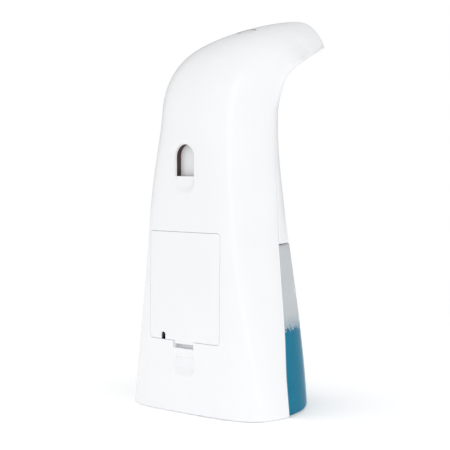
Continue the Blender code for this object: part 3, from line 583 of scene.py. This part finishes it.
def shell(name, side, low, columns=132, inner_columns=44):
    """Half of the casing: at each station an outer arc, a rounded parting edge, the inner arc a wall behind
    it and the other edge make one closed row; the rows run from a rounded lower rim to the beak tip."""
    rim = BASE_ROUNDING if low == 0 else PARTING_ROUNDING
    turn = np.linspace(0, np.pi / 2, 6)
    start = low if low else FOOT_HEIGHT
    rim_z = start + rim * (1 - np.cos(turn))
    pull = rim * (1 - np.sin(turn))
    if not low:
        rim_z = np.r_[0, FOOT_HEIGHT, rim_z]
        pull = np.r_[FOOT_INSET, FOOT_INSET, pull]
    t = np.r_[rim_z, np.linspace(start + rim, NECK_Z, 72)[1:]] / NECK_Z
    t = np.r_[t, 1 + np.sin(np.linspace(0, np.pi / 2, 84)[1:])]
    inset = np.zeros(len(t))
    inset[:len(pull)] = pull
    back, front = edges(t)
    close = np.clip((t - TIP_ROUNDING_FROM) / (2 - TIP_ROUNDING_FROM), 0, 1)
    half = law(HALF_WIDTH, t) * np.sqrt(1 - close ** 2.2 + TIP_BLUNTNESS)
    wall = np.minimum(WALL, np.minimum(0.4 * np.hypot(*(front - back).T), 0.8 * half))
    outer = skin_arc(t, inset, side, columns, GAP / 2 + PARTING_ROUNDING)
    corner = skin_arc(t, inset, side, 2, GAP / 2)[:, [0, -1]]
    inner = skin_arc(t, wall, side, inner_columns, GAP / 2)
    share = np.linspace(0, 1, inner_columns + 1)[None, :, None]
    chord = inner[:, :1] * (1 - share) + inner[:, -1:] * share
    solid = np.clip((t - HOLLOW_END) / 0.04, 0, 1)[:, None, None]
    inner += (chord - inner) * 0.97 * solid * solid * (3 - 2 * solid)
    ends = []
    for k in (0, -1):
        face = inner[:, k] - corner[:, k]
        length = np.linalg.norm(face, axis=1, keepdims=True)
        turned_in = corner[:, k] + face * np.minimum(PARTING_ROUNDING / length, 0.5)
        ends.append(bend(outer[:, k], corner[:, k], turned_in))
    rows = np.concatenate([outer, ends[1], inner[:, ::-1], ends[0][:, ::-1]], 1)
    return tube_grid(name, world(rows))


def duplicate(piece, name):
    """A copy of a piece with a mesh of its own."""
    copy = piece.copy()
    copy.data = piece.data.copy()
    copy.name = name
    bpy.context.scene.collection.objects.link(copy)
    return copy


def pocket(name, outline, depth, wall, rings=26):
    """A shallow hollow in the back with a soft wall: the outline shrinks towards its middle while the floor
    sinks to depth(x, z) over the first wall millimetres."""
    base = densified(outline(0.0), 0.6)
    middle = base.mean(0)
    reach = np.hypot(*(base - middle).T).min()
    share = 1 - (np.linspace(0, 1, rings) ** 1.3) * 0.985
    rows = [np.stack([base[:, 0], back_depth(*base.T) - 3, base[:, 1]], -1)]
    for s in share:
        at = middle + s * (base - middle)
        inward = np.clip((1 - s) * reach / wall, 0, 1)
        fall = inward * inward * (3 - 2 * inward)
        q = back_depth(*at.T) - 0.05 + (depth(*at.T) + 0.05) * fall
        rows.append(np.stack([at[:, 0], q, at[:, 1]], -1))
    return tube_grid(name, world(np.array(rows)))


def ramp(value, low, high):
    """0 below low, 1 above high, and a smooth step between."""
    u = np.clip((value - low) / (high - low), 0, 1)
    return u * u * (3 - 2 * u)


def housing_shell():
    shell_piece = shell("housing_shell", "rear", 0)
    skin = duplicate(shell_piece, "uncut_skin")
    backing = rounded_rectangle(BACKING_HALF_WIDTH, *BACKING_Z, 2)
    combine(shell_piece, back_plug("backing", backing, [(1.5, 0), (3.9, 0), (4.2, -0.3)], flat=True), "UNION")
    dish = rounded_rectangle(DISH_HALF_WIDTH, *DISH_Z, 7.6, steps=16)
    dish_floor = lambda x, z: DISH_DEPTH * ramp(z, DISH_Z[0], DISH_Z[0] + 6)
    combine(shell_piece, pocket("dish", dish, dish_floor, 2.8))
    hole = arch(HOOK_HALF_WIDTH, *HOOK_Z)
    rim = [(DISH_DEPTH + d, g) for d, g in edge_rounding(0.25)]
    combine(shell_piece, back_plug("hole", hole, [(-3, 0.25)] + rim + [(12, 0)]))
    door = rounded_rectangle(DOOR_HALF_WIDTH, *DOOR_Z, DOOR_CORNER)
    rounded = edge_rounding(DOOR_EDGE_ROUNDING)
    combine(shell_piece, back_plug("door_way", door, [(-3, DOOR_EDGE_ROUNDING)] + rounded + [(4.2, 0)]))
    slot_way = rounded_rectangle(TAB_HALF_WIDTH + GAP, LATCH_SLOT_Z, DOOR_Z[0] + 2, 0.5)
    combine(shell_piece, back_plug("slot_way", slot_way, [(-3, 0.15), (0.8, 0.15), (1.0, 0), (3.7, 0)]))
    ledge = rounded_rectangle(RECESS_HALF_WIDTH, RECESS_BOTTOM_Z + 8, LATCH_SLOT_Z + 1.2, 0.8)
    combine(shell_piece, pocket("ledge", ledge, lambda x, z: np.full_like(z, 0.9), 0.9))
    scoop = rounded_rectangle(RECESS_HALF_WIDTH, RECESS_BOTTOM_Z, 31.0, 0.8, 4.0)
    combine(shell_piece, pocket("scoop", scoop, lambda x, z: 1.9 * ramp(z, RECESS_BOTTOM_Z, 25), 1.3))
    point, outward = outline_point((CROWN, BEAK), BUTTON_Q)
    r = BUTTON_RADIUS + GAP + 0.1
    well = [(0, 3), (r + 0.12, 3), (r + 0.12, 0.1), (r, -0.1), (r, -8), (0, -8)]
    combine(shell_piece, turned("button_well", [(*p, 0) for p in well], (0, *point), direction(outward)))
    crease(shell_piece)
    keep_skin_shading(shell_piece, skin)
    bpy.data.objects.remove(skin)
    return shell_piece


def front_shell():
    shell_piece = shell("front_shell", "front", COVER_EDGE_Z)
    skin = duplicate(shell_piece, "uncut_front")
    for q, radius in ((NOZZLE_Q, NOZZLE_RADIUS), (SENSOR_Q, SENSOR_RADIUS)):
        point, outward = outline_point((UNDERSIDE,), q, UNDERSIDE_TAIL)
        r = radius + GAP
        well = [(0, 4), (r + 0.3, 4), (r + 0.3, 0.05), (r + 0.1, -0.1), (r, -0.35), (r, -7), (0, -7)]
        combine(shell_piece, turned("well", [(*p, 0) for p in well], (0, *point), direction(outward)))
    crease(shell_piece)
    keep_skin_shading(shell_piece, skin)
    bpy.data.objects.remove(skin)
    return shell_piece


def back_slab(name, half_width, z_range, depths, count=110):
    """A plate of the back: a grid over (x, z) laid on the skin at one depth, and again at another."""
    x = np.linspace(-half_width, half_width, count)
    z = np.linspace(*z_range, count)
    grid_x, grid_z = np.meshgrid(x, z)
    rows = []
    for depth in depths:
        q = back_depth(grid_x.ravel(), grid_z.ravel()).reshape(grid_x.shape) + depth
        rows.append(np.stack([grid_x, q, grid_z], -1))
    both = np.concatenate(rows, 1)
    both[:, count:] = both[:, count:][:, ::-1]
    return tube_grid(name, world(both))


def door_panel():
    low, high = DOOR_Z
    panel = back_slab("door_panel", DOOR_HALF_WIDTH + 1.5, (low - 2, high + 2), (0, WALL))
    skin = duplicate(panel, "uncut_panel")
    outline = rounded_rectangle(DOOR_HALF_WIDTH, low, high, DOOR_CORNER)
    r = DOOR_EDGE_ROUNDING
    turn = np.linspace(0, np.pi / 2, 5)[1:]
    g = -DOOR_GAP
    edge = [(-2, g - r), (-0.02, g - r)] + [(r * (1 - np.cos(a)), g - r * (1 - np.sin(a))) for a in turn]
    combine(panel, back_plug("panel_outline", outline, edge + [(5, g)]), "INTERSECT")
    tab = rounded_rectangle(TAB_HALF_WIDTH, TAB_END_Z, low + 3, 0.8)
    tab_rings = [(0.4, -0.25), (0.47, -0.08), (0.65, 0), (1.75, 0), (1.9, -0.15)]
    combine(panel, back_plug("tab", tab, tab_rings, flat=True), "UNION")
    notch = arch(NOTCH_HALF_WIDTH, low - 1, low + NOTCH_HEIGHT, NOTCH_X)
    combine(panel, back_plug("notch", notch, [(-2, 0.2), (0, 0.2), (0.2, 0), (6, 0)]))
    crease(panel)
    keep_skin_shading(panel, skin)
    bpy.data.objects.remove(skin)
    return panel


def painted_shade_hook_lining():
    """The sleeve behind the hook opening. Its dark brown finish is painted shade for the unlit inside of the
    hook hole. It is an arch-shaped plug with the opening cut through it.
    """
    low, high = LINING_Q + GAP, HOOK_STOP_Q - GAP
    outer = arch(HOOK_HALF_WIDTH + LINING_RIM, HOOK_Z[0] - LINING_RIM, HOOK_Z[1] + LINING_RIM)
    lining = back_plug("painted_shade_hook_lining", outer, [(low, 0), (high, 0)], flat=True)
    hole = arch(HOOK_HALF_WIDTH, *HOOK_Z)
    rings = [(0, 0.2), (low, 0.2), (low + 0.2, 0), (12, 0)]
    combine(lining, back_plug("lining_hole", hole, rings, flat=True))
    crease(lining)
    return lining


def base_panel():
    """The plate that closes the foot: the inside of the rear casing's outline, 3.2 mm high, with two sunk
    screw seats."""
    t = np.array([0.0, 0.3, 3.0, 3.2]) / NECK_Z
    inset = np.array([0.3, 0.0, 0.0, 0.2]) + WALL + GAP
    rows = skin_arc(t, inset, "rear", 120, 2.6)
    panel = tube_grid("base_panel", world(rows))
    for side in (-1, 1):
        seat = [(0, -3), (3.25, -3), (3.25, 0), (3.0, 0.3), (3.0, 1.5), (1.6, 1.5), (1.6, 8), (0, 8)]
        place = (BASE_SCREW_X * side, BASE_SCREW_Q, 0)
        combine(panel, turned("seat", [(*p, 0) for p in seat], place, (0, 0, 1)))
    crease(panel)
    return panel


def base_screw(name, x):
    """A pan-head screw seen from below: domed head, cross recess and a turned shank."""
    place, up = (x, BASE_SCREW_Q, 0), (0, 0, 1)
    profile = [(0, 0.25, 0), (1.6, 0.28, 0), (2.6, 0.55, 0.2), (2.6, 1.3, 0), (1.2, 1.3, 0), (1.2, 9, 0),
               (0, 10, 0)]
    screw = turned(name, profile, place, up, 48)
    slot = [(0, -1, 0), (0.35, -1, 0), (0.2, 0.9, 0), (0, 0.9, 0)]
    for turn in (0, 90):
        blade = turned("blade", slot, place, up, 4)
        there = Matrix.Translation(Vector(world(place))) @ Matrix.Rotation(np.radians(turn), 4, "Z")
        long = Matrix.Diagonal((4.2, 1.0, 1.0, 1.0)) @ Matrix.Rotation(np.pi / 4, 4, "Z")
        blade.data.transform(there @ long @ Matrix.Translation(-Vector(world(place))))
        combine(screw, blade)
    crease(screw)
    return screw


# --- bottle --------------------------------------------------------------------------------
def front_body(name, inset, low, high, trim, foot, brow, columns=120, corner=0.8):
    """A solid in front of the parting line: a front arc closed by a flat back with rounded corners, whose
    lower and upper edges are rounded by foot and brow millimetres."""
    turn = np.linspace(0, np.pi / 2, 9)
    z = np.r_[low + foot * (1 - np.cos(turn)), np.linspace(low + foot, high - brow, 34)[1:-1],
              high - brow * (1 - np.cos(turn[::-1]))]
    pull = np.r_[foot * (1 - np.sin(turn)), np.zeros(32), brow * (1 - np.sin(turn[::-1]))]
    t = z / NECK_Z
    arc = skin_arc(t, inset + pull, "front", columns, trim + corner)
    sharp = skin_arc(t, inset + pull, "front", 2, trim)[:, [0, -1]]
    across = sharp[:, 1] - sharp[:, 0]
    across /= np.linalg.norm(across, axis=1, keepdims=True)
    ends = [bend(arc[:, k], sharp[:, k], sharp[:, k] + side * across * corner, 5)
            for k, side in ((0, 1), (-1, -1))]
    rows = np.concatenate([arc, ends[1], ends[0][:, ::-1]], 1)
    return tube_grid(name, world(rows))


def dip_tube_bore(name):
    """The room that the soap leaves round the dip tube: a rod from the coupling to the bottle's floor."""
    seam_q = seam_depth(COUPLING_Z)
    top, foot = np.array([seam_q + 5.6, COUPLING_Z - 4.4]), np.array([seam_q + 12.0, 4.0])
    length = float(np.hypot(*(top - foot)))
    profile = [(0, -9, 0), (2.1, -9, 0), (2.1, length, 0), (0, length, 0)]
    return turned(name, profile, (0, *foot), direction(top - foot))


def bottle_shell():
    half_gap = GAP / 2
    bottle = front_body("bottle_shell", 0, 0, BOTTLE_TOP_Z, half_gap, 2.6, 1.2)
    ceiling = BOTTLE_TOP_Z - BOTTLE_WALL
    hollow = front_body("hollow", BOTTLE_WALL, BOTTLE_FLOOR, ceiling, half_gap + BOTTLE_WALL, 1.8, 0.8)
    combine(bottle, hollow)
    r, top = FILLER_RADIUS, BOTTLE_TOP_Z
    mouth = [(0, top - 8, 0), (r, top - 8, 0), (r, top - 0.6, 0), (r + 0.5, top + 0.3, 0),
             (r + 0.5, top + 7, 0), (0, top + 7, 0)]
    combine(bottle, turned("mouth", mouth, (0, FILLER_Q, 0), (0, 0, 1)))
    port = [(0, -5, 0), (COUPLING_RADIUS, -5, 0), (COUPLING_RADIUS, 5, 0), (0, 5, 0)]
    combine(bottle, turned("port", port, (0, seam_depth(COUPLING_Z), COUPLING_Z), (0, 1, 0)))
    crease(bottle)
    return bottle


def soap_fill():
    """The soap: the hollow of the bottle up to its level, just into the wall so that no air shows between."""
    into_wall = 0.05
    inset, low = BOTTLE_WALL - into_wall, BOTTLE_FLOOR - into_wall
    soap = front_body("soap_fill", inset, low, SOAP_LEVEL_Z + MENISCUS, GAP / 2 + inset, 1.8, 0.3)
    combine(soap, dip_tube_bore("tube_room"))
    crease(soap)
    return soap


def bottle_stopper():
    """Filler plug: a ribbed bung with a domed top and a finger dimple."""
    r, top = FILLER_RADIUS, BOTTLE_TOP_Z
    profile = [(0, top - 4.4, 0), (r - 0.6, top - 4.4, 0.3), (r + 0.3, top - 3.6, 0.3),
               (r + 0.3, top - 2.1, 0.2), (r - GAP, top - 2.0, 0), (r - GAP, top - 0.1, 0.4),
               (5.5, top - 0.1, 0.5), (4.5, top - 0.7, 0.4), (0, top - 0.7, 0)]
    return turned("bottle_stopper", profile, (0, FILLER_Q, 0), (0, 0, 1))


# --- head ----------------------------------------------------------------------------------
def button_cap():
    """Push button: a dished round cap on a short stem, its rim a little below the crown."""
    point, outward = outline_point((CROWN, BEAK), BUTTON_Q)
    b = BUTTON_RADIUS
    profile = [(0, -0.5, 0), (b - 2.2, -0.46, 1), (b - 1.3, -0.4, 0.4), (b - 0.6, -0.6, 0.15),
               (b - 0.5, -0.9, 0.1), (b - 0.5, -3, 0.2), (2, -3, 0.2), (2, -5, 0.2), (0, -5, 0)]
    return turned("button_cap", profile, (0, *point), direction(outward))


def nozzle_place():
    return outline_point((UNDERSIDE,), NOZZLE_Q, UNDERSIDE_TAIL)


def nozzle_body():
    """Foam nozzle: a round mouth with a rolled lip, a stepped body and a side inlet for the tube."""
    point, outward = nozzle_place()
    r = NOZZLE_RADIUS
    profile = [(3.6, 0.8, 0.3), (r - 0.6, 0.8, 0.5), (r, 0.3, 0.3), (r, -1.9, 0.2), (r - 1.2, -2.6, 0.2),
               (r - 1.2, -9.0, 0.3), (r - 2.0, -9.8, 0.3), (1.2, -9.8, 0), (1.2, -7.0, 0), (3.6, -6.0, 0.3)]
    body = turned("nozzle_body", profile, (0, *point), direction(outward))
    inlet = point - outward * 6.6
    rearward = np.array([outward[1], -outward[0]])
    stem = turned("stem", [(0, 4.4, 0), (1.9, 4.4, 0), (1.9, 9.5, 0.2), (0, 9.5, 0)], (0, *inlet),
                  direction(rearward), 48)
    combine(body, stem, "UNION")
    crease(body)
    return body


def nozzle_mesh():
    """Foam screen: a ring that holds two layers of round wires crossing at 0.75 mm."""
    point, outward = nozzle_place()
    ring = [(2.9, -1.75, 0.1), (3.3, -1.75, 0.1), (3.3, -1.2, 0.1), (2.9, -1.2, 0.1)]
    screen = turned("nozzle_mesh", ring, (0, *point), direction(outward), 64)
    across, along_beak = Vector((1, 0, 0)), direction([outward[1], -outward[0]])
    centre = Vector(world((0, *(point - outward * 1.5))))
    out = direction(outward)
    bm = bmesh.new()
    bm.from_mesh(screen.data)
    for first, second, layer in ((across, along_beak, 0.09), (along_beak, across, -0.09)):
        for offset in np.arange(-2.625, 2.7, 0.75):
            reach = np.sqrt(3.1 ** 2 - offset ** 2)
            turn = np.linspace(0, 2 * np.pi, 8, endpoint=False)
            rows = [[bm.verts.new(centre + (first * offset + second * end + out * layer
                                            + (first * np.cos(a) + out * np.sin(a)) * 0.08) * MM) for a in turn]
                    for end in (-reach, reach)]
            for i in range(len(turn)):
                j = (i + 1) % len(turn)
                bm.faces.new((rows[0][i], rows[0][j], rows[1][j], rows[1][i]))
            bm.faces.new(rows[0])
            bm.faces.new(rows[1])
    bmesh.ops.recalc_face_normals(bm, faces=bm.faces)
    bm.to_mesh(screen.data)
    bm.free()
    screen.data.shade_smooth()
    crease(screen, 50)
    return screen


def sensor_lens():
    """The dark sensor window: a shallow dome, set in its hole."""
    point, outward = outline_point((UNDERSIDE,), SENSOR_Q, UNDERSIDE_TAIL)
    r = SENSOR_RADIUS
    profile = [(0, 0.1, 0), (r - 0.5, 0.04, 0.4), (r, -0.2, 0.15), (r, -1.7, 0.1), (0, -1.7, 0)]
    return turned("sensor_lens", profile, (0, *point), direction(outward))


# --- batteries -----------------------------------------------------------------------------
def battery(i):
    """A cell from its CAD box: crimped sleeve edges, a flat end and a stepped cap, upright or upside down."""
    low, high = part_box(f"battery_cell_{i}")
    length = (high.z - low.z) / MM
    r = CELL_RADIUS
    profile = [(0, 0, 0), (r - 1.1, 0, 0), (r - 0.9, 0.25, 0.1), (r - 0.35, 0.25, 0.1), (r, 0.7, 0.25),
               (r, CELL_LENGTH - 0.6, 0.25), (r - 0.4, CELL_LENGTH - 0.15, 0.1),
               (r - 1.0, CELL_LENGTH - 0.15, 0.1), (r - 1.2, CELL_LENGTH, 0.1),
               (NUB_RADIUS + 0.2, CELL_LENGTH, 0.1), (NUB_RADIUS, CELL_LENGTH + 0.2, 0.1),
               (NUB_RADIUS, length, 0.15), (0, length, 0)]
    middle = (low + high) / 2
    upright = i % 2 == 0
    foot = (middle.x / MM, DEPTH / 2 - middle.y / MM, (low.z if upright else high.z) / MM)
    return turned(f"cell_{i}", profile, foot, (0, 0, 1 if upright else -1), 64)


def spring(i, coils=5, wire=0.32):
    """A conical contact spring: a wire whose centre goes round and up while the coil narrows a little."""
    low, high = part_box(f"battery_spring_{i}")
    middle = (low + high) / 2
    x, q = middle.x / MM, DEPTH / 2 - middle.y / MM
    turn = np.linspace(0, 2 * np.pi * coils, coils * 28)
    flat = np.clip(turn / (2 * np.pi) / coils * 1.5 - 0.25, 0, 1)
    bottom, top = low.z / MM + wire, high.z / MM - wire
    reach = 3.1 - 0.6 * (flat if i % 2 else 1 - flat)
    path = np.stack([x + reach * np.cos(turn), q + reach * np.sin(turn), bottom + (top - bottom) * flat], -1)
    run = np.gradient(path, axis=0)
    run /= np.linalg.norm(run, axis=1, keepdims=True)
    side = np.stack([np.cos(turn), np.sin(turn), np.zeros_like(turn)], -1)
    side -= run * np.sum(side * run, 1, keepdims=True)
    side /= np.linalg.norm(side, axis=1, keepdims=True)
    up = np.cross(run, side)
    around = np.linspace(0, 2 * np.pi, 10, endpoint=False)[None, :, None]
    rows = path[:, None] + wire * (side[:, None] * np.cos(around) + up[:, None] * np.sin(around))
    return tube_grid(f"spring_{i}", world(rows))


def battery_tray():
    """The battery box: a rounded tray open to the back."""
    low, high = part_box("battery_box")
    back_q, front_q = DEPTH / 2 - high.y / MM, DEPTH / 2 - low.y / MM
    wide, bottom, top = high.x / MM, low.z / MM, high.z / MM
    wall = 1.2
    outer = rounded_rectangle(wide, bottom, top, 2)
    rings = [(back_q, -0.3), (back_q + 0.3, 0), (front_q - 0.6, 0), (front_q, -0.6)]
    tray = back_plug("battery_tray", outer, rings, flat=True)
    inner = rounded_rectangle(wide - wall, bottom + wall, top - wall, 0.8)
    hollow = [(back_q - 2, 0.25), (back_q, 0.25), (back_q + 0.25, 0), (front_q - wall, 0)]
    combine(tray, back_plug("tray_hollow", inner, hollow, flat=True))
    crease(tray)
    return tray


# --- stage ---------------------------------------------------------------------------------
def softbox(name, place, aim, size, power):
    light = bpy.data.lights.new(name, "AREA")
    light.shape = "RECTANGLE"
    light.size, light.size_y = size
    light.energy = power
    lamp = bpy.data.objects.new(name, light)
    bpy.context.scene.collection.objects.link(lamp)
    lamp.location = place
    lamp.rotation_euler = (Vector(aim) - Vector(place)).to_track_quat("-Z", "Y").to_euler()


def surround(name, towards, far, near):
    """World light that rises smoothly from one level on the far side to another on the side that a direction
    points to, where it stays. What the camera sees directly is plain white."""
    made = bpy.data.worlds.new(name)
    bpy.context.scene.world = made
    made.use_nodes = True
    tree = made.node_tree
    background = tree.nodes["Background"]
    facing = node(tree, "ShaderNodeVectorMath", {0: node(tree, "ShaderNodeTexCoord").outputs["Generated"]},
                  operation="DOT_PRODUCT")
    facing.inputs[1].default_value = Vector(towards).normalized()
    level = node(tree, "ShaderNodeMapRange", {"Value": facing.outputs["Value"]},
                 interpolation_type="SMOOTHSTEP", From_Min=-0.95, From_Max=0.25, To_Min=far, To_Max=near)
    seen = node(tree, "ShaderNodeLightPath").outputs["Is Camera Ray"]
    strength = node(tree, "ShaderNodeMix", {0: seen, 2: level.outputs["Result"]}, data_type="FLOAT")
    strength.inputs[3].default_value = 1.0
    tree.links.new(strength.outputs[0], background.inputs["Strength"])
    background.inputs["Color"].default_value = (1, 1, 1, 1)


def studio():
    """White room: a pale floor that fades into a white surround, brighter from the camera's side."""
    surround("white_room", (-0.6, 0.7, 0.4), 0.36, 0.965)
    turn = np.linspace(0, 2 * np.pi, 96, endpoint=False)
    radius = np.array([0.02, 0.2, 0.5, 1.0, 2.5, 6.0])[:, None]
    flat = np.stack([radius * np.cos(turn), radius * np.sin(turn), np.zeros((len(radius), len(turn)))], -1)
    mesh = bpy.data.meshes.new("floor")
    faces = ring_faces(*flat.shape[:2]) + [list(range(len(turn)))]
    mesh.from_pydata(flat.reshape(-1, 3).tolist(), [], faces)
    floor = bpy.data.objects.new("floor", mesh)
    bpy.context.scene.collection.objects.link(floor)
    paint, tree, principled, place = material("pale_floor", "#FFFFFF", 0.6, Emission_Color=(1, 1, 1, 1),
                                              Emission_Strength=0.2)
    distance = node(tree, "ShaderNodeVectorMath", {0: place}, operation="LENGTH")
    fade = node(tree, "ShaderNodeMapRange", {"Value": distance.outputs["Value"]}, From_Min=0.15, From_Max=0.6)
    glow = node(tree, "ShaderNodeEmission", Strength=1.0)
    mixed = node(tree, "ShaderNodeMixShader", {0: fade.outputs["Result"], 1: principled.outputs["BSDF"],
                                               2: glow.outputs["Emission"]})
    tree.links.new(mixed.outputs["Shader"], tree.nodes["Material Output"].inputs["Surface"])
    mesh.materials.append(paint)
    softbox("tall_box", (-1.5, 0.25, 0.7), (0, 0, 0.12), (0.35, 1.3), 1.6)
    bpy.context.scene.view_settings.view_transform = "Standard"


def camera():
    lens = bpy.data.cameras.new("camera")
    lens.lens = FOCAL
    lens.sensor_width = SENSOR_WIDTH
    lens.clip_start = 0.01
    made = bpy.data.objects.new("camera", lens)
    bpy.context.scene.collection.objects.link(made)
    turn, tilt = np.radians(VIEW_TURN), np.radians(VIEW_TILT)
    x = -VIEW_DISTANCE * np.sin(turn) - VIEW_ASIDE * np.cos(turn)
    q = -VIEW_DISTANCE * np.cos(turn) + VIEW_ASIDE * np.sin(turn)
    made.location = world((x, q, VIEW_HEIGHT))
    look = Vector((np.sin(turn) * np.cos(tilt), -np.cos(turn) * np.cos(tilt), -np.sin(tilt)))
    made.rotation_euler = look.to_track_quat("-Z", "Y").to_euler()
    bpy.context.scene.camera = made


def main():
    camera()
    studio()
    white = gloss_abs()
    grey = satin_abs("textured_grey_abs", "#9DA0A5", "#8F9297", 0.5)
    # dark brown ABS: on the hook lining this colour is painted shade for the shadowed inside of the hook
    # opening; on the tact switch it is the part's own colour
    dark = satin_abs("brown_abs_and_painted_shade", "#4A302E", "#3C2624", 0.55)
    clear, soap, window, rubber = frosted_bottle(), teal_soap(), dark_window(), silicone()
    steel, board, wrap = plated_steel(), circuit_board(), cell_wrap()
    finishes = {"white_abs": white, "clear_bottle": clear, "blue_soap": soap, "grey_abs": grey,
                "dark_abs": dark, "black_window": window, "silicone": rubber, "steel": steel,
                "circuit_board": board, "cell_wrap": wrap}
    pieces = [
        (housing_shell(), "housing", "white_abs", ["main_housing"]),
        (front_shell(), "housing", "white_abs", ["front_cover"]),
        (door_panel(), "battery_door", "white_abs", ["battery_cover"]),
        # the hook lining's dark brown finish is painted shade inside the hook opening
        (painted_shade_hook_lining(), "housing", "dark_abs", ["hook_bushing"]),
        (base_panel(), "housing", "white_abs", ["base_plate"]),
        (base_screw("left_base_screw", -BASE_SCREW_X), "housing", "steel", ["base_screw_left"]),
        (base_screw("right_base_screw", BASE_SCREW_X), "housing", "steel", ["base_screw_right"]),
        (bottle_shell(), "soap_bottle", "clear_bottle", ["bottle"]),
        (soap_fill(), "soap_bottle", "blue_soap", ["liquid_soap"]),
        (bottle_stopper(), "soap_bottle", "silicone", ["filler_plug"]),
        (button_cap(), "button", "white_abs", ["power_button"]),
        (nozzle_body(), "housing", "grey_abs", ["foam_nozzle"]),
        (nozzle_mesh(), "housing", "steel", ["foam_mesh"]),
        (sensor_lens(), "housing", "black_window", ["sensor_window"]),
        (battery_tray(), "housing", "grey_abs", ["battery_box"]),
    ]
    for i in range(1, 5):
        pieces.append((battery(i), "housing", "cell_wrap", [f"battery_cell_{i}"]))
        pieces.append((spring(i), "housing", "steel", [f"battery_spring_{i}"]))
    replaced = set()
    for piece, body, slot, nodes in pieces:
        piece.data.materials.clear()
        piece.data.materials.append(finishes[slot])
        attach(piece, body)
        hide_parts(*nodes)
        replaced.update(nodes)
    kept = {
        "white_abs": ["hook_stop_plate"],
        "grey_abs": ["chassis", "pump_body", "pump_head"],
        "steel": ["contact_strip_bottom", "contact_strip_top", "motor_bracket", "pump_motor", "motor_shaft"],
        "silicone": ["pump_diaphragm", "suction_tube", "foam_tube", "coupling_seal", "bottle_coupling",
                     "dip_tube"],
        "circuit_board": ["main_board", "button_board", "sensor_board"],
        "dark_abs": ["tact_switch"],
        "black_window": ["ir_emitter", "ir_receiver"],
    }
    for slot, names in kept.items():
        for name in names:
            for holder in frame["nodes"][name].material_slots:
                holder.material = finishes[slot]


main()
